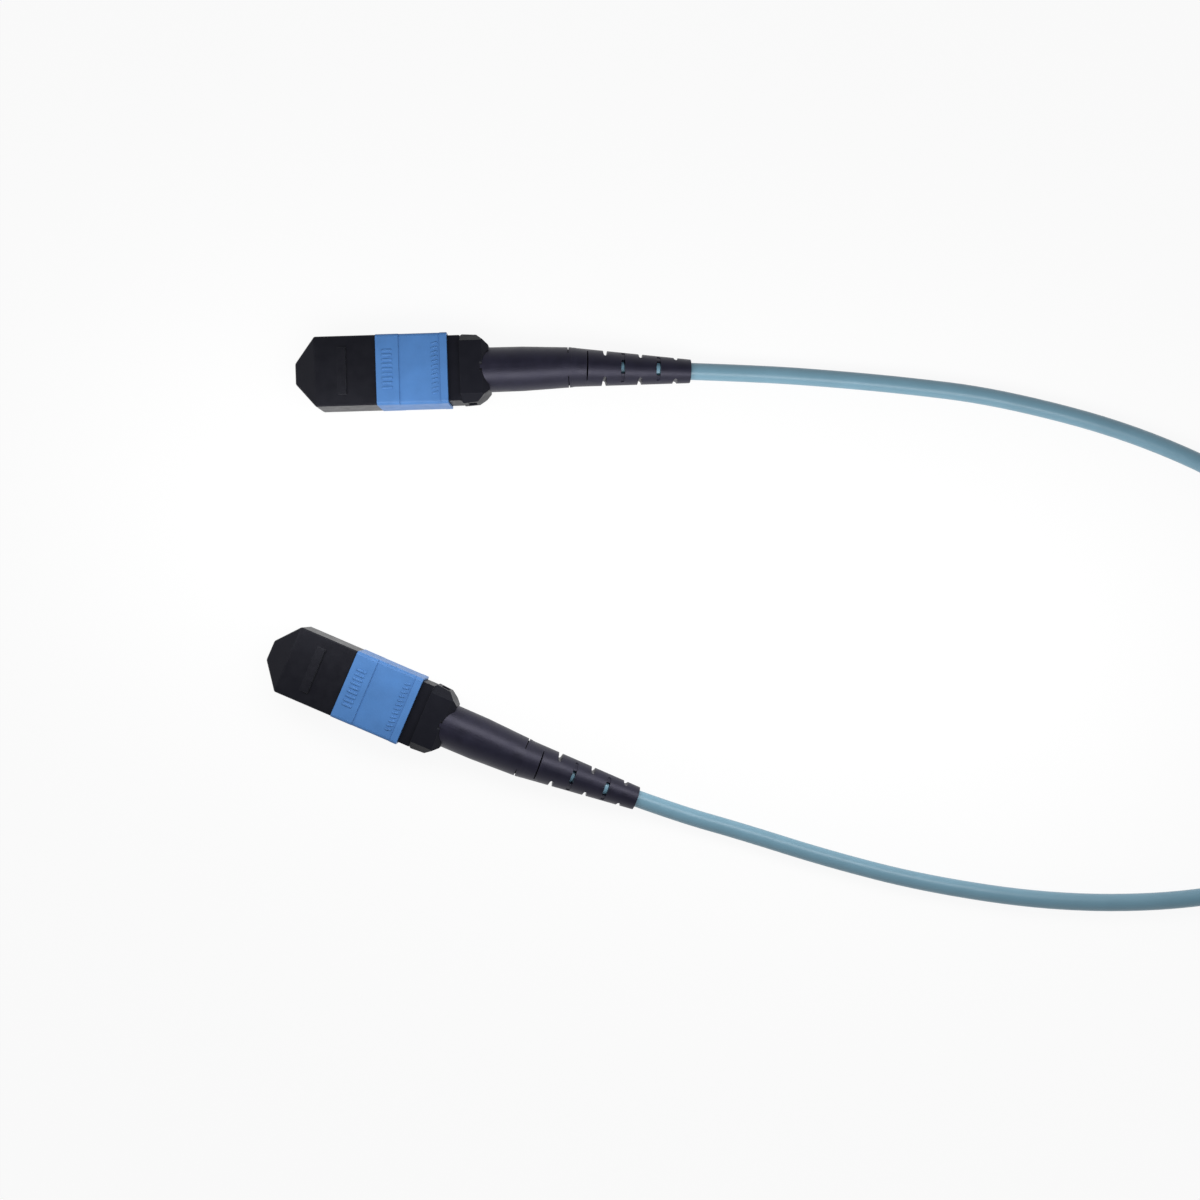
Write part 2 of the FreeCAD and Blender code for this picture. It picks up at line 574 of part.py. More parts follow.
def boot_outside(side):
    """An oval stretch, a ball at the elbow and a round cone behind it, run into one another."""
    elbow_r = BOOT_ELBOW_D / 2
    front = Part.makeLoft([oval_wire(BOOT_START, BOOT_FRONT_WIDTH, BOOT_FRONT_HEIGHT),
                           oval_wire(BOOT_START + BOOT_SHOULDER, BOOT_SHOULDER_WIDTH, BOOT_FRONT_HEIGHT),
                           oval_wire(ELBOW.x, BOOT_ELBOW_D + FIT, BOOT_ELBOW_D + TOUCH)], True, True)
    tail = Part.makeCone(elbow_r - TOUCH, BOOT_END_D / 2, BOOT_END - ELBOW.x, ELBOW, vec(1, 0, 0))
    return front.fuse([Part.makeSphere(elbow_r, ELBOW, vec(1, 0, 0)), placed(tail, tail_turn(side))])


def strain_relief_boot(side):
    front_room = rod(POST_D / 2 + FIT, BOOT_START - PAST, RING_START)
    ring_room = rod(RING_R + FIT, BOOT_START - PAST, RING_NECK_START + RING_WALL)
    neck_room = rod(RING_NECK_R + FIT, BOOT_START, RING_END + RING_WALL)
    bore = bent_rod(CORD_D / 2 + FIT, BOOT_START, BOOT_END + PAST, side)
    boot = boot_outside(side).cut([front_room, ring_room, neck_room, bore])
    last = len(SLOT_FLOORS) - 1
    for i, (floor, width) in enumerate(zip(SLOT_FLOORS, SLOT_WIDTHS)):
        station = BOOT_END - LAST_SLOT_TO_END - SLOT_PITCH * (last - i)
        cutter = slot_cutter(width, floor, BOOT_FRONT_WIDTH / 2, sideways=i % 2 == 0)
        cutter.translate(vec(station, 0, 0))
        boot = boot.cut(placed(cutter, tail_turn(side)) if station > ELBOW.x else cutter)
    return boot


def cable_in_boot(side):
    return bent_rod(CORD_D / 2, JACKET_START, BOOT_END, side)


def plug_pieces(side):
    """Every piece of one plug, in the plug's own frame. Its boot bends to +Y if side is 1."""
    spring_right, spring_left = both_sides(coupling_spring())
    return {
        "dust_cap": dust_cap(),
        "coupling_sleeve": coupling_sleeve(),
        "inner_housing": inner_housing(),
        "mt_ferrule": mt_ferrule(),
        "pin_keeper": pin_keeper(),
        "ferrule_boot": ferrule_boot(),
        "fibre_ribbon": fibre_ribbon(),
        "ferrule_spring": ferrule_spring(),
        "spring_push": spring_push(),
        "coupling_spring_left": spring_left,
        "coupling_spring_right": spring_right,
        "aramid_yarn": aramid_yarn(),
        "crimp_ring": crimp_ring(),
        "strain_relief_boot": strain_relief_boot(side),
        "cable_in_boot": cable_in_boot(side),
    }


# ---------------------------------------------------------------- cord
def cord_tube(name, points):
    """A round tube along straight runs joined by tangent arcs, each as large as its runs allow."""
    edges = []
    start = points[0]
    radii = []
    for i in range(1, len(points) - 1):
        before = points[i - 1] - points[i]
        after = points[i + 1] - points[i]
        shorter = min(before.Length, after.Length)
        half_turn = (math.pi - before.getAngle(after)) / 2
        reach = ARC_SHARE * shorter
        radii.append(reach / math.tan(half_turn))
        arc_start = points[i] + before.normalize() * reach
        arc_end = points[i] + after.normalize() * reach
        to_centre = (before + after).normalize() * (radii[-1] / math.cos(half_turn))
        middle = points[i] + to_centre - (before + after).normalize() * radii[-1]
        edges.append(Part.LineSegment(start, arc_start).toShape())
        edges.append(Part.Arc(arc_start, middle, arc_end).toShape())
        start = arc_end
    edges.append(Part.LineSegment(start, points[-1]).toShape())
    path = Part.Wire(edges)
    heading = (points[1] - points[0]).normalize()
    section = Part.Wire(Part.makeCircle(CORD_D / 2, points[0], heading))
    tube = path.makePipeShell([section], True, True)
    expected = math.pi * CORD_D ** 2 / 4 * path.Length
    print(name, "length %.1f mm, radii" % path.Length, ["%.0f" % r for r in radii],
          "volume is %.4f of section times length" % (tube.Volume / expected))
    return tube


def cord_coil():
    """The outer shape of the coiled middle of the cord: two layers of turns that lie side by side."""
    half = (COIL_TRACKS - 1) / 2 * COIL_PITCH + CORD_D / 2 + 2 * FIT
    height = COIL_LAYERS * COIL_PITCH + FIT
    section = [(half - COIL_EDGE, 0), (half, COIL_EDGE), (half, height - COIL_EDGE), (half - COIL_EDGE, height)]
    section += [(-r, z) for r, z in reversed(section)]
    cx, cy = COIL_CENTRE
    profile = face_of([vec(cx + COIL_RADIUS + r, cy, z) for r, z in section])
    return profile.revolve(vec(cx, cy, 0), vec(0, 0, 1), 360)


def boot_exit(placement, side):
    """Where the cord leaves a plug's boot, and its heading there, in the row's frame."""
    tail = placement.multiply(tail_turn(side))
    return tail.multVec(vec(BOOT_END, 0, AXIS)), tail.Rotation.multVec(vec(1, 0, 0))


def lead_points(placement, side, route):
    """A lead's route: out of the boot, down to the surface, then along the chosen points."""
    start, heading = boot_exit(placement, side)
    landing = start + heading * ((start.z - CORD_HEIGHT) / -heading.z)
    return [start, landing] + [vec(x, y, CORD_HEIGHT) for x, y in route]


# ---------------------------------------------------------------- the whole patch cord
NEAR_ROUTE = [(56, -2.5), (74, -4.6), (92, -7.4), (117, -14.8), (139, -26), (157, -41.5), (168.5, -59),
              (173.5, -76)]
FAR_ROUTE = [(42, -85.2), (58, -90.8), (76, -96), (99, -100.1), (121, -100.7), (141, -96.3),
             (156, -90.2), (167, -89.6)]


def main():
    os.makedirs("parts", exist_ok=True)
    end_centre, end_heading = boot_exit(FreeCAD.Placement(), 1)
    box_end = end_centre.x + BOOT_END_D / 2 * math.hypot(end_heading.y, end_heading.z)
    near_shift = (CAP_LENGTH - box_end) / 2
    near = FreeCAD.Placement(vec(near_shift, 0, 0), FreeCAD.Rotation(vec(0, 0, 1), 0))
    far = FreeCAD.Placement(vec(FAR_X, FAR_Y, 0), FreeCAD.Rotation(vec(0, 0, 1), FAR_TURN_DEG))
    plugs = (("", near, -1, NEAR_ROUTE), ("far_", far, 1, FAR_ROUTE))
    nodes = {"cord_coil": cord_coil()}
    for prefix, placement, side, route in plugs:
        for name, shape in plug_pieces(side).items():
            nodes[prefix + name] = placed(shape, placement)
        name = prefix + "cord_lead"
        outside_coil = cord_tube(name, lead_points(placement, side, route)).cut(nodes["cord_coil"])
        nodes[name] = max(outside_coil.Solids, key=lambda solid: solid.Volume)
    for name, shape in nodes.items():
        shape.exportStep("parts/%s.step" % name)
        print("%-28s solids %d valid %s volume %.2f" % (name, len(shape.Solids), shape.isValid(), shape.Volume))
    print("near plug moved by %.4f" % near_shift)
    for prefix, placement, side, route in plugs:
        exit_point, heading = boot_exit(placement, side)
        face = placement.multVec(vec(FERRULE_FACE, 0, AXIS))
        print(prefix, "boot exit", exit_point, "heading", heading, "ferrule face", face)


main()
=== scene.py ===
import json
import math

import bpy
import numpy as np
from mathutils import Matrix, Vector


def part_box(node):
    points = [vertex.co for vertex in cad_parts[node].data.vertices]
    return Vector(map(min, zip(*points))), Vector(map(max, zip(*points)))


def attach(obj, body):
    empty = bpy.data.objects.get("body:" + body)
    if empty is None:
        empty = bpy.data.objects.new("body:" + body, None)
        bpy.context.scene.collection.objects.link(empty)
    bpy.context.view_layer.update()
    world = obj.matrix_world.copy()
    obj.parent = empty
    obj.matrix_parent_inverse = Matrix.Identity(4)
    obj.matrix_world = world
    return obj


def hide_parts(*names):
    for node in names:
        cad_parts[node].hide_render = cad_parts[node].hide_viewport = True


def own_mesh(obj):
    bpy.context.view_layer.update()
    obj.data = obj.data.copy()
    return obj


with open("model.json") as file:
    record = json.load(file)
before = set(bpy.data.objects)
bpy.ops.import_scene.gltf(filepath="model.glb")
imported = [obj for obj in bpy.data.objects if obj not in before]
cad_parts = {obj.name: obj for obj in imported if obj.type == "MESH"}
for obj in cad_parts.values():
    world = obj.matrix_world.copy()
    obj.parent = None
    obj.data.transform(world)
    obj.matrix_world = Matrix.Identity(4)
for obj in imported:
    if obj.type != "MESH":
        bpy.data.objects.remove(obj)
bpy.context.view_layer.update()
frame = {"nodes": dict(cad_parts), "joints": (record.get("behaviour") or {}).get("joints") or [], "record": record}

MM = 0.001


# ---------------------------------------------------------------- where each plug is
def plug_frame(sleeve, joint_name):
    """The frame of a plug: X from its sleeve's front end to the cable, Y across, Z up from the table.

    X is the axis of the joint that slides the sleeve. The origin is the sleeve's lowest point along
    X, in the middle of its width, at the height of its underside.
    """
    joint = next(j for j in frame["joints"] if j["name"] == joint_name)
    along = Vector(joint["axis"]).normalized()
    up = Vector((0, 0, 1))
    across = up.cross(along)
    corners = np.array([v.co for v in frame["nodes"][sleeve].data.vertices])
    x, y, z = (corners @ np.array(axis) for axis in (along, across, up))
    origin = along * x.min() + across * ((y.min() + y.max()) / 2) + up * z.min()
    return Matrix.Translation(origin) @ Matrix((along, across, up)).transposed().to_4x4()


NEAR = plug_frame("coupling_sleeve", "sleeve_slide")
FAR = plug_frame("far_coupling_sleeve", "far_sleeve_slide")
PLUGS = (("", NEAR), ("far_", FAR))

SLEEVE_LOW, SLEEVE_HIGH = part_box("coupling_sleeve")
SLEEVE_TOP = SLEEVE_HIGH.z
AXIS_HEIGHT = SLEEVE_TOP / 2
FACE_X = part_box("mt_ferrule")[0].x - SLEEVE_LOW.x


# ---------------------------------------------------------------- surfaces
SHARP_EDGE_DEG = 35         # faces that meet at more than this are shaded with an edge


def grid_quads(rows, columns):
    """Quads of a grid whose columns close on themselves.

    Each quad is a point, the next one in its row, and the same two of the next row.
    """
    row, column = np.meshgrid(np.arange(rows - 1), np.arange(columns), indexing="ij")
    after = (column + 1) % columns
    this_row, next_row = row * columns, (row + 1) * columns
    quads = (this_row + column, this_row + after, next_row + after, next_row + column)
    return np.stack(quads, -1).reshape(-1, 4)


def closed_stack(rings):
    """Points and faces of a stack of closed rings, from the first to the last, with both ends closed."""
    rows, columns, _ = rings.shape
    faces = [tuple(q) for q in grid_quads(rows, columns)]
    faces.append(tuple(range(columns - 1, -1, -1)))
    faces.append(tuple(range((rows - 1) * columns, rows * columns)))
    return rings.reshape(-1, 3), faces


def joined(parts):
    """One list of points and one of faces from several, each with its own numbering."""
    points, faces, offset = [], [], 0
    for part_points, part_faces in parts:
        points.append(part_points)
        faces += [tuple(i + offset for i in face) for face in part_faces]
        offset += len(part_points)
    return np.concatenate(points), faces


def new_piece(name, points, faces, matrix, material, body):
    """A piece from points in a plug's frame, put in its place in its mesh, that rides on a body.

    Each point is turned by the plug's frame and then moved to it.
    """
    placed = points @ np.array(matrix.to_3x3()).T + np.array(matrix.translation)
    mesh = bpy.data.meshes.new(name)
    mesh.from_pydata(placed.tolist(), [], faces)
    mesh.update()
    mesh.shade_smooth()
    mesh.set_sharp_from_angle(angle=math.radians(SHARP_EDGE_DEG))
    mesh.materials.append(material)
    piece = bpy.data.objects.new(name, mesh)
    bpy.context.scene.collection.objects.link(piece)
    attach(piece, body)
    return piece


# ---------------------------------------------------------------- finishes
AQUA = (0.166, 0.310, 0.400)        # the cord
BLUE = (0.0685, 0.185, 0.435)       # the sleeves
BLACK = (0.0058, 0.0061, 0.0088)    # the caps and, a little lighter, the housings
COLD = (0.84, 0.84, 1.0, 1.0)       # tint of the shine of the black plastics

# The colour sockets of Blender's Mix node, whose other sockets have the same names.
MIX_FIRST, MIX_SECOND, MIX_RESULT = 6, 7, 2


class Finish:
    """A material in the making: a Principled shader and the nodes that feed it."""

    def __init__(self, name, roughness, **sockets):
        self.material = bpy.data.materials.new(name)
        self.material.use_nodes = True
        self.tree = self.material.node_tree
        self.shader = self.tree.nodes["Principled BSDF"]
        self.shader.inputs["Roughness"].default_value = roughness
        for socket, value in sockets.items():
            self.shader.inputs[socket.replace("_", " ")].default_value = value
        self.place = self.add("ShaderNodeTexCoord").outputs["Object"]
        self.facing = self.add("ShaderNodeNewGeometry").outputs["Normal"]

    def add(self, kind, links=(), values=(), **settings):
        """A node with its settings, its sockets' values and what is linked into it."""
        node = self.tree.nodes.new(kind)
        for key, value in settings.items():
            setattr(node, key, value)
        for socket, value in dict(values).items():
            node.inputs[socket].default_value = value
        for socket, source in dict(links).items():
            self.tree.links.new(source, node.inputs[socket])
        return node

    def feed(self, socket, source):
        """Links a value, colour or normal into the shader."""
        self.tree.links.new(source, self.shader.inputs[socket])

    def turned(self, matrix, stretch=(1, 1, 1)):
        """Coordinates in a plug's own frame, stretched along its axes."""
        back = matrix.inverted()
        turn = back.to_euler()
        moved = self.add("ShaderNodeMapping", {"Vector": self.place},
                         {"Location": back.translation, "Rotation": turn})
        return self.add("ShaderNodeMapping", {"Vector": moved.outputs[0]}, {"Scale": stretch}).outputs[0]

    def noise(self, size, detail=2.0, place=None):
        """Noise whose features are about that size, from 0 to 1."""
        return self.add("ShaderNodeTexNoise", {"Vector": place or self.place},
                        {"Scale": 1 / size, "Detail": detail}).outputs["Fac"]

    def between(self, source, low, high, to_low=0.0, to_high=1.0):
        """A value that goes from to_low to to_high while the source goes from low to high."""
        node = self.add("ShaderNodeMapRange", {"Value": source},
                        {"From Min": low, "From Max": high, "To Min": to_low, "To Max": to_high})
        return node.outputs["Result"]

    def calc(self, operation, first, second):
        """The result of an operation on two values, either of which may be a plain number."""
        node = self.add("ShaderNodeMath", operation=operation)
        for socket, value in enumerate((first, second)):
            if isinstance(value, (int, float)):
                node.inputs[socket].default_value = value
            else:
                self.tree.links.new(value, node.inputs[socket])
        return node.outputs[0]

    def blend(self, share, first, second):
        """The first colour where share is 0 and the second where it is 1."""
        node = self.add("ShaderNodeMix", {"Factor": share}, data_type="RGBA")
        for socket, value in ((MIX_FIRST, first), (MIX_SECOND, second)):
            if isinstance(value, tuple):
                node.inputs[socket].default_value = (*value, 1)
            else:
                self.tree.links.new(value, node.inputs[socket])
        return node.outputs[MIX_RESULT]

    def rounded(self, radius):
        """The normal of the surface as if its edges were rounded to that radius."""
        return self.add("ShaderNodeBevel", values={"Radius": radius}, samples=6).outputs["Normal"]

    def edges(self, normal, low=0.01, high=0.12):
        """1 along the edges that the rounded normal turns away from, 0 on the flats."""
        alike = self.add("ShaderNodeVectorMath", {0: normal, 1: self.facing}, operation="DOT_PRODUCT")
        return self.between(alike.outputs["Value"], 1 - low, 1 - high)

    def bumps(self, height, depth, normal=None):
        """Raises the surface by height, a value from 0 to 1, times depth."""
        links = {"Height": height}
        if normal is not None:
            links["Normal"] = normal
        node = self.add("ShaderNodeBump", links, {"Distance": depth, "Strength": 1.0})
        self.feed("Normal", node.outputs["Normal"])


def shade(colour, factor):
    """A colour made darker or lighter by a factor."""
    return tuple(c * factor for c in colour)


RUBBED_GREY, RUBBED_SHARE = 0.6, 0.10      # a rubbed edge goes that share of the way to this grey


def moulded_plastic(name, colour, roughness, grain=0.10 * MM, depth=0.004 * MM, wear=0.25, **sockets):
    """Moulded plastic: spark-eroded grain, faint flow shades, scuffs, and edges rubbed paler."""
    finish = Finish(name, roughness, **sockets)
    soft = finish.rounded(0.12 * MM)
    flow = finish.noise(3.5 * MM, detail=3)
    base = finish.blend(finish.between(flow, 0.3, 0.7), shade(colour, 0.93), shade(colour, 1.07))
    specks = finish.between(finish.noise(0.25 * MM, detail=4), 0.62, 0.75)
    base = finish.blend(finish.calc("MULTIPLY", specks, 0.10), base, shade(colour, 1.8))
    patches = finish.between(finish.noise(0.9 * MM, detail=4), 0.35, 0.7)
    rub = finish.calc("MULTIPLY", finish.edges(soft), patches)
    paler = tuple(c + RUBBED_SHARE * (RUBBED_GREY - c) for c in colour)
    finish.feed("Base Color", finish.blend(finish.calc("MULTIPLY", rub, wear), base, paler))
    polish = finish.between(finish.noise(1.6 * MM, detail=4), 0.3, 0.7, roughness - 0.05, roughness + 0.05)
    finish.feed("Roughness", polish)
    finish.bumps(finish.noise(grain, detail=3), depth, soft)
    return finish.material


def boot_rubber():
    """Soft black rubber with a violet cast: matt, with fine pits, dust and a slight bloom."""
    colour = (0.0052, 0.0050, 0.0140)
    finish = Finish("boot_rubber", 0.45, Specular_IOR_Level=0.55, Specular_Tint=(0.82, 0.80, 1.0, 1))
    soft = finish.rounded(0.15 * MM)
    bloom = finish.between(finish.noise(2.2 * MM, detail=4), 0.35, 0.75)
    base = finish.blend(bloom, shade(colour, 0.82), shade(colour, 1.25))
    dust = finish.between(finish.noise(0.16 * MM, detail=5), 0.66, 0.76)
    base = finish.blend(finish.calc("MULTIPLY", dust, 0.20), base, (0.07, 0.07, 0.085))
    rub = finish.calc("MULTIPLY", finish.edges(soft), 0.35)
    finish.feed("Base Color", finish.blend(rub, base, (0.035, 0.034, 0.046)))
    finish.feed("Roughness", finish.between(bloom, 0, 1, 0.40, 0.50))
    waves = finish.calc("MULTIPLY", finish.noise(0.9 * MM), 0.8)
    pits = finish.calc("ADD", finish.noise(0.13 * MM, detail=4), waves)
    finish.bumps(pits, 0.010 * MM, soft)
    return finish.material


def slit_rubber():
    """Painted shade for the webs down in the narrow slits: rubber made dull and nearly black, with a little dust.
    """
    finish = Finish("slit_rubber", 0.85, Specular_IOR_Level=0.1)
    dust = finish.between(finish.noise(0.2 * MM, detail=4), 0.62, 0.75)
    finish.feed("Base Color", finish.blend(dust, (0.0012, 0.0012, 0.0020), (0.006, 0.006, 0.009)))
    finish.bumps(dust, 0.01 * MM)
    return finish.material


def cord_jacket(name, colour):
    """The cord's smooth sheath: slightly glossy, faintly uneven from the extruder, with marks of use."""
    finish = Finish(name, 0.34, Specular_IOR_Level=0.55)
    shades = finish.between(finish.noise(6 * MM, detail=2), 0.3, 0.7)
    base = finish.blend(shades, shade(colour, 0.96), shade(colour, 1.04))
    marks = finish.between(finish.noise(0.5 * MM, detail=5), 0.68, 0.78)
    finish.feed("Base Color", finish.blend(finish.calc("MULTIPLY", marks, 0.18), base, shade(colour, 0.7)))
    finish.feed("Roughness", finish.between(finish.noise(1.3 * MM, detail=4), 0.3, 0.7, 0.29, 0.40))
    fine = finish.calc("MULTIPLY", finish.noise(0.12 * MM), 0.25)
    finish.bumps(finish.calc("ADD", finish.noise(1.1 * MM), fine), 0.008 * MM)
    return finish.material


def drawn_wire(name, colour):
    """Spring wire: bright steel with fine drawing lines."""
    finish = Finish(name, 0.25, Metallic=1.0)
    lines = finish.noise(0.03 * MM, detail=3)
    finish.feed("Base Color", finish.blend(lines, shade(colour, 0.85), colour))
    finish.feed("Roughness", finish.between(lines, 0.3, 0.7, 0.20, 0.32))
    finish.bumps(lines, 0.001 * MM)
    return finish.material


def crimped_aluminium():
    """The crimp ring: satin metal, dented by the crimping tool in small flats."""
    colour = (0.72, 0.72, 0.72)
    finish = Finish("ring_metal", 0.32, Metallic=1.0)
    cells = finish.add("ShaderNodeTexVoronoi", {"Vector": finish.place}, {"Scale": 1 / (1.1 * MM)})
    stains = finish.between(finish.noise(0.7 * MM, detail=4), 0.4, 0.75)
    finish.feed("Base Color", finish.blend(stains, colour, shade(colour, 0.8)))
    finish.feed("Roughness", finish.between(stains, 0, 1, 0.28, 0.42))
    finish.bumps(cells.outputs["Distance"], 0.05 * MM, finish.rounded(0.08 * MM))
    return finish.material


def aramid_yarn(name, matrix):
    """Strength yarn laid along the plug: golden fibres, each a little different."""
    finish = Finish(name, 0.7)
    fibres = finish.noise(0.05 * MM, detail=4, place=finish.turned(matrix, (0.04, 1, 1)))
    finish.feed("Base Color", finish.blend(fibres, (0.36, 0.25, 0.045), (0.86, 0.70, 0.24)))
    finish.bumps(fibres, 0.03 * MM)
    return finish.material


def ferrule_plastic(name, matrix):
    """Glass-filled black plastic, ground on its face: pale filler specks and fine polishing lines."""
    colour = (0.022, 0.022, 0.025)
    finish = Finish(name, 0.30)
    filler = finish.between(finish.noise(0.035 * MM, detail=3), 0.60, 0.72)
    flow = finish.noise(0.8 * MM, detail=3)
    base = finish.blend(flow, shade(colour, 0.8), shade(colour, 1.3))
    finish.feed("Base Color", finish.blend(finish.calc("MULTIPLY", filler, 0.5), base, (0.13, 0.13, 0.13)))
    lines = finish.noise(0.02 * MM, detail=3, place=finish.turned(matrix, (1, 0.05, 1)))
    finish.feed("Roughness", finish.between(lines, 0.3, 0.7, 0.24, 0.36))
    finish.bumps(lines, 0.001 * MM, finish.rounded(0.04 * MM))
    return finish.material


def fibre_ribbon(name, matrix):
    """Twelve coated fibres side by side, each in its colour of the standard order, with a round top."""
    order = [(0.02, 0.10, 0.55), (0.85, 0.22, 0.02), (0.02, 0.30, 0.06), (0.18, 0.08, 0.03),
             (0.22, 0.24, 0.26), (0.80, 0.80, 0.78), (0.60, 0.02, 0.02), (0.01, 0.01, 0.01),
             (0.80, 0.62, 0.03), (0.22, 0.05, 0.35), (0.80, 0.28, 0.35), (0.08, 0.50, 0.52)]
    low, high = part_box("fibre_ribbon")
    half_width = (high.y - low.y) / 2
    finish = Finish(name, 0.25)
    across = finish.add("ShaderNodeSeparateXYZ", {0: finish.turned(matrix)}).outputs["Y"]
    share = finish.between(across, -half_width, half_width)
    stripes = finish.add("ShaderNodeValToRGB", {"Fac": share})
    ramp = stripes.color_ramp
    ramp.interpolation = "CONSTANT"
    for i, colour in enumerate(order):
        stop = ramp.elements[i] if i < 2 else ramp.elements.new(i / len(order))
        stop.position = i / len(order)
        stop.color = (*colour, 1)
    finish.feed("Base Color", stripes.outputs["Color"])
    round_tops = finish.calc("PINGPONG", finish.calc("MULTIPLY", share, len(order)), 0.5)
    finish.bumps(round_tops, 0.1 * MM)
    return finish.material


def polished_glass():
    """The ends of the fibres: clear glass with a slightly brighter core, polished."""
    finish = Finish("fibre_glass", 0.06, Specular_IOR_Level=0.6)
    cloud = finish.noise(0.02 * MM)
    finish.feed("Base Color", finish.blend(cloud, (0.55, 0.60, 0.62), (0.72, 0.76, 0.78)))
    finish.bumps(cloud, 0.0003 * MM)
    return finish.material


shared = {
    "cap_plastic": moulded_plastic("cap_plastic", BLACK, 0.36, wear=0.5,
                                   Specular_IOR_Level=0.25, Specular_Tint=COLD),
    "sleeve_plastic": moulded_plastic("sleeve_plastic", BLUE, 0.42, Specular_IOR_Level=0.22),
    "housing_plastic": moulded_plastic("housing_plastic", shade(BLACK, 1.45), 0.42, wear=0.3,
                                       Specular_IOR_Level=0.12, Specular_Tint=COLD),
    "keeper_plastic": moulded_plastic("keeper_plastic", (0.56, 0.55, 0.50), 0.45),
    "soft_block": moulded_plastic("soft_block", (0.02, 0.02, 0.021), 0.6, depth=0.01 * MM),
    "spring_steel": drawn_wire("spring_steel", (0.62, 0.61, 0.58)),
    "ring_metal": crimped_aluminium(),
    "boot_rubber": boot_rubber(),
    "slit_rubber": slit_rubber(),
    "jacket": cord_jacket("jacket", AQUA),
    # The cord inside the boots is a lighter copy of the jacket: painted light, so that it looks bright in the
    # boots' shaded windows.
    "clean_jacket": cord_jacket("clean_jacket", shade(AQUA, 2.2)),
}
# These follow the plug that they are on, so each plug has its own.
own = {"yarn": aramid_yarn, "ferrule_plastic": ferrule_plastic, "ribbon_coating": fibre_ribbon}
slot_of = {part["node"]: part["material_slot"] for part in frame["record"]["subparts"]}
for node, obj in frame["nodes"].items():
    prefix, matrix = PLUGS[1] if node.startswith("far_") else PLUGS[0]
    slot = slot_of[node]
    finish = own[slot](prefix + slot, matrix) if slot in own else shared[slot]
    if node.endswith("cable_in_boot"):      # painted lighter, against the shade down in the boots' windows
        finish = shared["clean_jacket"]
    obj.data.materials.clear()
    obj.data.materials.append(finish)


# ---------------------------------------------------------------- the cord
CORD_D = 3.1 * MM
CORD_HEIGHT = CORD_D / 2 + 0.01 * MM        # of the middle of a cord that lies on the table

# The route in millimetres: from each boot down to the table, along it, and into the coil.
NEAR_EXIT = (35.4599, -1.0867, 2.2386)
NEAR_LANDING = (44.478, -1.544, 1.56)
NEAR_ROUTE = [(56, -2.5), (74, -4.6), (92, -7.4), (117, -14.8), (139, -26), (157, -41.5)]
FAR_EXIT = (23.2499, -78.5424, 2.2386)
FAR_LANDING = (31.616, -81.939, 1.56)
FAR_ROUTE = [(42, -85.2), (58, -90.8), (76, -96), (99, -100.1), (121, -100.7)]
DESCENT = [(148.0, -95.4, 3.9), (139.0, -97.9, 2.3)]    # off the coil's upper layer to the far lead

COIL_CENTRE = (158.0, -72.0)
COIL_RADIUS = 17.0                      # of the line midway between the four tracks of a layer
COIL_PITCH = 3.2
OUTER_TRACK = 1.5                       # the outer track is so many pitches outside that line
COIL_START_DEG = 50.0                   # where the near lead joins the coil's outer turn
COIL_TURNS = 7.39
POINTS_PER_TURN = 24
INWARD_TURNS = (0, 1, 2)                # at the ends of these turns the cord goes one track in,
OUTWARD_TURNS = (4, 5, 6)               # and at the ends of these one track out
SHIFT_START, SHIFT_END = 0.78, 0.98     # share of each turn over which the cord changes its track
CLIMB_START, CLIMB_END = 3.45, 3.88     # turns between which it climbs to the upper layer


def step(value, low, high):
    """0 below low, 1 above high and an S-curve between them: 3 s squared minus 2 s cubed."""
    share = min(max((value - low) / (high - low), 0), 1)
    return share * share * (3 - 2 * share)


def coil_point(turn):
    """A point of the coil after so many turns, in millimetres.

    The angle falls from its start by 360 degrees a turn. The lower layer goes in by one track a
    turn, from the outer to the inner, then the cord climbs and the upper layer goes out again.
    """
    tracks_in = sum(step(turn, n + SHIFT_START, n + SHIFT_END) for n in INWARD_TURNS)
    tracks_out = sum(step(turn, n + SHIFT_START, n + SHIFT_END) for n in OUTWARD_TURNS)
    radius = COIL_RADIUS + COIL_PITCH * (OUTER_TRACK - tracks_in + tracks_out)
    height = CORD_HEIGHT / MM + COIL_PITCH * step(turn, CLIMB_START, CLIMB_END)
    angle = math.radians(COIL_START_DEG - 360 * turn)
    return (COIL_CENTRE[0] + radius * math.cos(angle), COIL_CENTRE[1] + radius * math.sin(angle), height)


on_table = CORD_HEIGHT / MM
route = [NEAR_EXIT, NEAR_LANDING]
route += [(x, y, on_table) for x, y in NEAR_ROUTE]
route += [coil_point(k / POINTS_PER_TURN) for k in range(int(COIL_TURNS * POINTS_PER_TURN) + 1)]
route += DESCENT
route += [(x, y, on_table) for x, y in reversed(FAR_ROUTE)]
route += [FAR_LANDING, FAR_EXIT]

curve = bpy.data.curves.new("patch_cord", "CURVE")
curve.dimensions = "3D"
curve.bevel_depth = CORD_D / 2
curve.bevel_resolution = 8
curve.resolution_u = 8
curve.use_fill_caps = True
spline = curve.splines.new("NURBS")
spline.points.add(len(route) - 1)
for point, place in zip(spline.points, route):
    point.co = (place[0] * MM, place[1] * MM, place[2] * MM, 1)
spline.order_u = 3
spline.use_endpoint_u = True
cord = bpy.data.objects.new("patch_cord", curve)
bpy.context.scene.collection.objects.link(cord)
curve.materials.append(shared["jacket"])
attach(cord, "plug_body")
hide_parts("cord_lead", "far_cord_lead", "cord_coil")


# ---------------------------------------------------------------- raised marks on the sleeves
# The marks, webs, fibre ends and springs are worked out in millimetres in a plug's frame.
OUTLINE_POINTS = 20         # points round a bar
EDGE_POINTS = 4             # points over its rounded edge
BAR_SINK = 0.05             # a bar's foot lies so far below the surface that it stands on
PANEL_DEPTH = 0.25          # the sleeve's panels lie so far below its front band


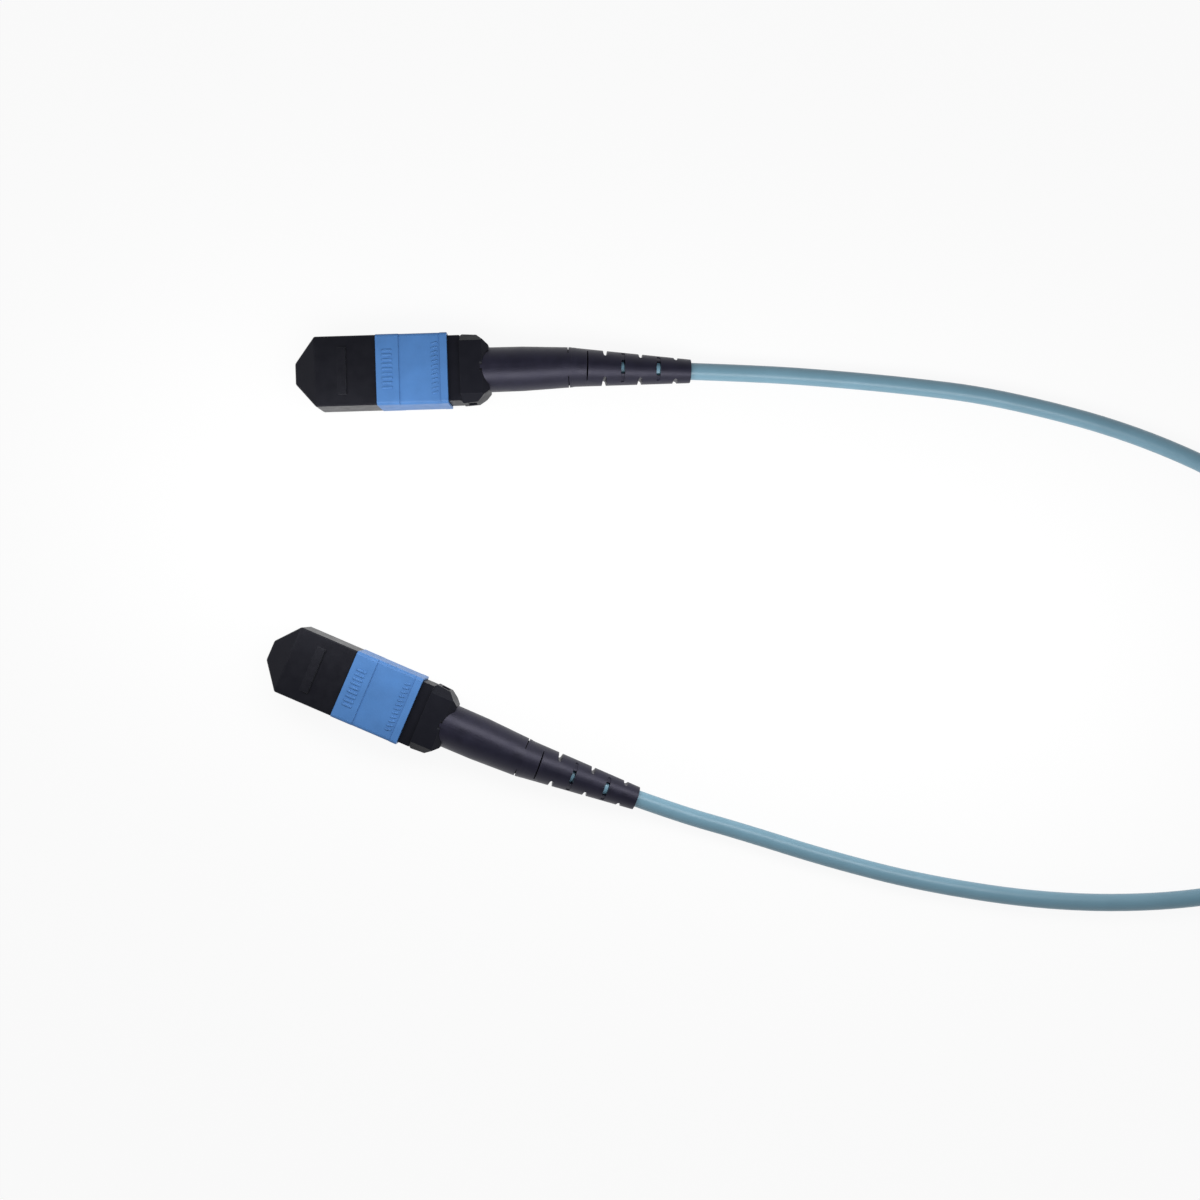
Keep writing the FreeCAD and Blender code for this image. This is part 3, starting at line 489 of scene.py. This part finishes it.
def stadium(half_length, radius):
    """A closed outline round a straight core, as an array of x and y.

    It is a circle, radius (cos t, sin t), whose two halves are moved apart along y by half_length.
    """
    angle = np.linspace(0, 2 * math.pi, OUTLINE_POINTS, endpoint=False) + math.pi / OUTLINE_POINTS
    shift = np.where(np.sin(angle) > 0, half_length, -half_length)
    return np.stack([radius * np.cos(angle), radius * np.sin(angle) + shift], -1)


def raised_bar(length, width, height, x, y, slant=0.0):
    """A bar with a rounded top, standing on z = 0: stadium outlines that shrink as they rise.

    Each outline's inset and height follow a quarter circle of a third of the bar's height. The
    bar's long way is X, turned by slant.
    """
    edge = height / 3
    arc = np.linspace(0, math.pi / 2, EDGE_POINTS)
    insets = np.concatenate([[0], edge * (1 - np.cos(arc))])
    heights = np.concatenate([[-BAR_SINK], height - edge * (1 - np.sin(arc))])
    core = (length - width) / 2
    rings = [np.column_stack([stadium(core, width / 2 - inset), np.full(OUTLINE_POINTS, z)])
             for inset, z in zip(insets, heights)]
    c, s = math.cos(slant), math.sin(slant)
    turned = np.stack(rings) @ np.array([[s, -c, 0], [c, s, 0], [0, 0, 1]])
    return closed_stack(turned + np.array([x, y, 0]))


def row_of_bars(count, first, pitch, **bar):
    """Equal bars side by side across the plug: bar i is at y = first plus i times the pitch."""
    return joined([raised_bar(y=first + pitch * i, **bar) for i in range(count)])


def sleeve_marks(side):
    """The marks of a wide face: bars on its front band and short slanted ones near its back edge.

    The rear row stands on the panel, below the band. The underside has no bars on its band: its
    rear row is the top's, turned half round X.
    """
    band = row_of_bars(count=9, first=-3.3, pitch=0.825, x=2.0, length=1.9, width=0.42, height=0.15)
    rear, rear_faces = row_of_bars(count=12, first=-4.4, pitch=0.8, x=10.45, length=1.15, width=0.30,
                                   height=0.13, slant=0.25)
    rear = rear - np.array([0, 0, PANEL_DEPTH])
    if side == "under":
        return rear * np.array([1, -1, -1]) * MM, rear_faces
    points, faces = joined([band, (rear, rear_faces)])
    return (points + np.array([0, 0, SLEEVE_TOP / MM])) * MM, faces


for prefix, matrix in PLUGS:
    for side in ("top", "under"):
        points, faces = sleeve_marks(side)
        marks = new_piece(prefix + "sleeve_marks_" + side, points, faces, matrix,
                          shared["sleeve_plastic"], prefix + "sleeve")


# ---------------------------------------------------------------- webs in the boots' slots
SLIT_X = 34.25              # where the first and narrowest slots are, one on each side of the boot
SLIT_FLOOR = 2.02           # the webs start so far from the boot's axis, just clear of the floors
SLIT_WEB_RADIUS = 3.22
SLIT_WEB_THICKNESS = 0.17
SLIT_WEB_POINTS = 24

ELBOW_X = 34.85             # where the boot's tail bends to the side and sags
SIDE_BEND_DEG, SAG_DEG = 2.9, 4.3
TAIL_LENGTH = 21.5
ELBOW_RADIUS, END_RADIUS = 3.515, 2.125     # of the tail at its two ends
SLOTS = ((9.075, 0.85), (15.525, 1.0))      # the wide faces' slots: distance from the elbow, width
SLOT_FLOOR = 1.22           # the webs start so far from the boot's axis, just clear of the floors
WEB_LIFT = 0.02             # angle from there to where their round outside starts
WINDOW_HALF = 1.25          # half length of the window on the cord that stays open between them
WEB_SINK = 0.18             # depth of the webs below the boot's skin
WEB_GAP = 0.02              # between a web and the slot's walls
SLOT_WEB_POINTS = 16


def segment_slab(radius, start, end, low, high):
    """A slab across X from low to high, whose outline has an arc on top and a flat floor.

    The arc is radius (cos t, sin t) for t from start to end. Straight below its two ends are the
    ends of the floor.
    """
    angle = np.linspace(start, end, SLOT_WEB_POINTS)
    arc = np.stack([radius * np.cos(angle), radius * np.sin(angle)], -1)
    outline = np.concatenate([arc, [[arc[-1, 0], SLOT_FLOOR]], [[arc[0, 0], SLOT_FLOOR]]])
    rings = [np.column_stack([np.full(len(outline), x), outline]) for x in (low, high)]
    return closed_stack(np.stack(rings))


def slit_web(side):
    """A thin web that nearly closes a slit: a circle's segment outside a chord, drawn out along X.

    The points are SLIT_WEB_RADIUS (cos t, sin t) for t up to the angle whose cosine is the chord's
    distance over the radius.
    """
    reach = math.acos(SLIT_FLOOR / SLIT_WEB_RADIUS)
    angle = np.linspace(-reach, reach, SLIT_WEB_POINTS) * side
    across, up = side * SLIT_WEB_RADIUS * np.cos(angle), SLIT_WEB_RADIUS * np.sin(angle)
    rings = [np.column_stack([np.full(SLIT_WEB_POINTS, SLIT_X + x), across, up])
             for x in (-SLIT_WEB_THICKNESS / 2, SLIT_WEB_THICKNESS / 2)]
    return closed_stack(np.stack(rings))


def slot_webs(bend):
    """Webs at both ends of the slots in the wide faces, above and below, along the boot's bent tail.

    The tail's radius falls evenly from the elbow to its end. The slabs of one quarter are mirrored
    in Y, in Z and in both, and then all are turned about the elbow with the tail.
    """
    slabs = []
    for place, width in SLOTS:
        radius = ELBOW_RADIUS + (END_RADIUS - ELBOW_RADIUS) * place / TAIL_LENGTH - WEB_SINK
        start, end = math.asin(SLOT_FLOOR / radius) + WEB_LIFT, math.acos(WINDOW_HALF / radius)
        half = width / 2 - WEB_GAP
        slabs.append(segment_slab(radius, start, end, place - half, place + half))
    points, faces = joined(slabs)
    flipped = [face[::-1] for face in faces]    # for one mirror, which turns a solid inside out
    quarters = [(points * np.array([1, a, b]), faces if a * b > 0 else flipped)
                for a in (1, -1) for b in (1, -1)]
    points, faces = joined(quarters)
    turn = Matrix.Rotation(math.radians(bend), 3, "Z") @ Matrix.Rotation(math.radians(SAG_DEG), 3, "Y")
    return points @ np.array(turn).T + np.array([ELBOW_X, 0, 0]), faces


for prefix, matrix in PLUGS:
    bend = SIDE_BEND_DEG if prefix else -SIDE_BEND_DEG
    # The slits' webs are nearly black: painted shade of the slits.
    webs = (("slit_webs", "slit_rubber", joined([slit_web(side) for side in (1, -1)])),
            ("slot_webs", "boot_rubber", slot_webs(bend)))
    for name, finish, (points, faces) in webs:
        points = points * MM + np.array([0, 0, AXIS_HEIGHT])
        web = new_piece(prefix + name, points, faces, matrix, shared[finish], "plug_body")


# ---------------------------------------------------------------- fibre ends in the ferrules
FIBRE_COUNT = 12
FIBRE_PITCH = 0.25
FIBRE_RADIUS = 0.060
FIBRE_BACK = 0.30           # the piece reaches so far into the ferrule
DOME_FOOT = 0.006           # the domed tip starts so far behind the ferrule's face
DOME_HEIGHT = 0.014
DOME_SHARE = 0.92           # of the quarter ellipse: the last bit of the tip is flat
DOME_STEPS = 3
FIBRE_SIDES = 14


def fibre_end(y):
    """A fibre's polished end: circles along X whose radius follows a quarter of an ellipse.

    Behind the dome the radius is the fibre's. On it, the place falls with the sine of the angle and
    the radius with the cosine.
    """
    arc = np.linspace(0, math.pi / 2 * DOME_SHARE, DOME_STEPS + 1)[1:]
    x = np.concatenate([[FIBRE_BACK, DOME_FOOT], DOME_FOOT - DOME_HEIGHT * np.sin(arc)])
    radius = FIBRE_RADIUS * np.concatenate([[1, 1], np.cos(arc)])
    angle = np.linspace(0, 2 * math.pi, FIBRE_SIDES, endpoint=False)
    ring_x = np.repeat(x[:, None], len(angle), 1)
    ring_y = y + radius[:, None] * np.cos(angle)
    ring_z = -radius[:, None] * np.sin(angle)
    return closed_stack(np.stack([ring_x, ring_y, ring_z], -1))


glass = polished_glass()
for prefix, matrix in PLUGS:
    middle = (FIBRE_COUNT - 1) / 2
    points, faces = joined([fibre_end((i - middle) * FIBRE_PITCH) for i in range(FIBRE_COUNT)])
    points = points * MM + np.array([FACE_X, 0, AXIS_HEIGHT])
    ends = new_piece(prefix + "fibre_ends", points, faces, matrix, glass, prefix + "ferrule")


# ---------------------------------------------------------------- springs
COIL_GAP = 0.02             # between a coil's end and its seat, and between a flat turn and the next


def coil_spring(start, end, y, width, thickness, wire, turns, steps=28, sides=10):
    """A tube round a helix: y and z follow the cosine and sine of the turn, x rises with it.

    x rises by hardly more than the wire over the first turn and the last, which makes them flat,
    and evenly between them. Each ring of the tube lies across the line there.
    """
    turn = np.linspace(0, turns, turns * steps + 1)
    flat = wire + COIL_GAP
    first, last = start + wire / 2 + COIL_GAP, end - wire / 2 - COIL_GAP
    x = np.interp(turn, [0, 1, turns - 1, turns], [first, first + flat, last - flat, last])
    cosine, sine = np.cos(2 * math.pi * turn), np.sin(2 * math.pi * turn)
    half_y, half_z = (width - wire) / 2, (thickness - wire) / 2
    line = np.column_stack([x, y + half_y * cosine, half_z * sine])
    along = np.gradient(line, axis=0)
    along /= np.linalg.norm(along, axis=1)[:, None]
    outward = np.column_stack([np.zeros_like(turn), cosine / half_y, sine / half_z])
    beside = np.cross(along, outward)
    beside /= np.linalg.norm(beside, axis=1)[:, None]
    outward = np.cross(beside, along)
    angle = np.linspace(0, 2 * math.pi, sides, endpoint=False)[None, :, None]
    ring = outward[:, None] * np.cos(angle) + beside[:, None] * np.sin(angle)
    return closed_stack(line[:, None] + wire / 2 * ring)


COUPLING_COIL = dict(start=3.9, end=11.99, width=1.1, thickness=1.1, wire=0.18, turns=8)
FERRULE_COIL = dict(start=-1.3, end=8.2, width=7.0, thickness=3.5, wire=0.36, turns=6)

# Each coil's name, the solid that it stands for, the joint that presses it and how far, its y, its size.
SPRINGS = (
    ("coupling_coil_left", "coupling_spring_left", "sleeve_slide", 2.0, -5.15, COUPLING_COIL),
    ("coupling_coil_right", "coupling_spring_right", "sleeve_slide", 2.0, 5.15, COUPLING_COIL),
    ("ferrule_coil", "ferrule_spring", "ferrule_float", 0.8, 0.0, FERRULE_COIL),
)
for prefix, matrix in PLUGS:
    for name, node, joint, travel, y, size in SPRINGS:
        points, faces = coil_spring(y=y, **size)
        points = points * MM + np.array([0, 0, AXIS_HEIGHT])
        spring = new_piece(prefix + name, points, faces, matrix, shared["spring_steel"], "plug_body")
        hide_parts(prefix + node)
        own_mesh(spring)


# ---------------------------------------------------------------- table, light and camera
TABLE_HALF = 3.0            # half of the table's side
TABLE_Z = -0.05 * MM        # just below the object, so that their faces don't coincide
TABLE_GREY = 0.9
GLOW_SHARE = 0.92           # share of plain white in the table as seen, the rest being lit and shaded

COVE_Z, COVE_GREY = 0.25, 0.75          # up to this height of the sky it has this level,
ZENITH_Z, ZENITH_GREY = 0.90, 0.14      # and from this one up, this level

STRIP_SIZE = (0.19, 0.036)
STRIP_WATTS = 0.080
STRIP_PLACE, STRIP_TURN_DEG = (0.025, -0.038, 0.050), -12

CAMERA_LENS, CAMERA_SENSOR = 37.2, 36   # in millimetres
CAMERA_PLACE, CAMERA_TURN_DEG = (0.01782, -0.04224, 0.2283), -1.75


def stage_floor():
    """A white table. What looks at it sees it nearly white, and it keeps a faint shadow."""
    corners = [(x * TABLE_HALF, y * TABLE_HALF, TABLE_Z) for x, y in ((-1, -1), (1, -1), (1, 1), (-1, 1))]
    mesh = bpy.data.meshes.new("table")
    mesh.from_pydata(corners, [], [(0, 1, 2, 3)])
    material = bpy.data.materials.new("table_white")
    material.use_nodes = True
    tree = material.node_tree
    tree.nodes.clear()
    output = tree.nodes.new("ShaderNodeOutputMaterial")
    diffuse = tree.nodes.new("ShaderNodeBsdfDiffuse")
    diffuse.inputs["Color"].default_value = (TABLE_GREY, TABLE_GREY, TABLE_GREY, 1)
    glow = tree.nodes.new("ShaderNodeEmission")
    glow.inputs["Strength"].default_value = 1.0
    path = tree.nodes.new("ShaderNodeLightPath")
    seen = path.outputs["Is Camera Ray"]
    for ray in ("Is Glossy Ray", "Is Transmission Ray"):
        total = tree.nodes.new("ShaderNodeMath")
        total.operation = "MAXIMUM"
        tree.links.new(seen, total.inputs[0])
        tree.links.new(path.outputs[ray], total.inputs[1])
        seen = total.outputs[0]
    share = tree.nodes.new("ShaderNodeMath")
    share.operation = "MULTIPLY"
    share.inputs[1].default_value = GLOW_SHARE
    tree.links.new(seen, share.inputs[0])
    mix = tree.nodes.new("ShaderNodeMixShader")
    tree.links.new(share.outputs[0], mix.inputs[0])
    tree.links.new(diffuse.outputs[0], mix.inputs[1])
    tree.links.new(glow.outputs[0], mix.inputs[2])
    tree.links.new(mix.outputs[0], output.inputs["Surface"])
    mesh.materials.append(material)
    table = bpy.data.objects.new("table", mesh)
    bpy.context.scene.collection.objects.link(table)


def studio_world():
    """A white cove round the table that darkens towards the zenith, where the camera hangs."""
    world = bpy.data.worlds.new("studio")
    bpy.context.scene.world = world
    world.use_nodes = True
    tree = world.node_tree
    background = tree.nodes["Background"]
    background.inputs["Strength"].default_value = 1.0
    direction = tree.nodes.new("ShaderNodeTexCoord").outputs["Generated"]
    split = tree.nodes.new("ShaderNodeSeparateXYZ")
    tree.links.new(direction, split.inputs[0])
    sky = tree.nodes.new("ShaderNodeValToRGB")
    tree.links.new(split.outputs["Z"], sky.inputs["Fac"])
    ramp = sky.color_ramp
    for stop, height, grey in ((0, COVE_Z, COVE_GREY), (1, ZENITH_Z, ZENITH_GREY)):
        ramp.elements[stop].position = height
        ramp.elements[stop].color = (grey, grey, grey, 1)
    path = tree.nodes.new("ShaderNodeLightPath")
    mix = tree.nodes.new("ShaderNodeMix")
    mix.data_type = "RGBA"
    tree.links.new(path.outputs["Is Camera Ray"], mix.inputs["Factor"])
    tree.links.new(sky.outputs["Color"], mix.inputs[MIX_FIRST])
    mix.inputs[MIX_SECOND].default_value = (1, 1, 1, 1)
    tree.links.new(mix.outputs[MIX_RESULT], background.inputs["Color"])


def strip_lamp():
    """A long soft box that hangs low between the two plugs and lights the sides that face it."""
    light = bpy.data.lights.new("strip", "AREA")
    light.shape = "RECTANGLE"
    light.size, light.size_y = STRIP_SIZE
    light.energy = STRIP_WATTS
    obj = bpy.data.objects.new("strip", light)
    obj.location = STRIP_PLACE
    obj.rotation_euler = (0, 0, math.radians(STRIP_TURN_DEG))
    obj.visible_camera = False
    bpy.context.scene.collection.objects.link(obj)


def camera():
    """Straight above the table, turned a little about its own line of sight."""
    data = bpy.data.cameras.new("camera")
    data.lens = CAMERA_LENS
    data.sensor_width = CAMERA_SENSOR
    data.clip_start = 0.01
    obj = bpy.data.objects.new("camera", data)
    obj.location = CAMERA_PLACE
    obj.rotation_euler = (0, 0, math.radians(CAMERA_TURN_DEG))
    bpy.context.scene.collection.objects.link(obj)
    bpy.context.scene.camera = obj


stage_floor()
studio_world()
strip_lamp()
camera()
bpy.context.scene.view_settings.view_transform = "Standard"
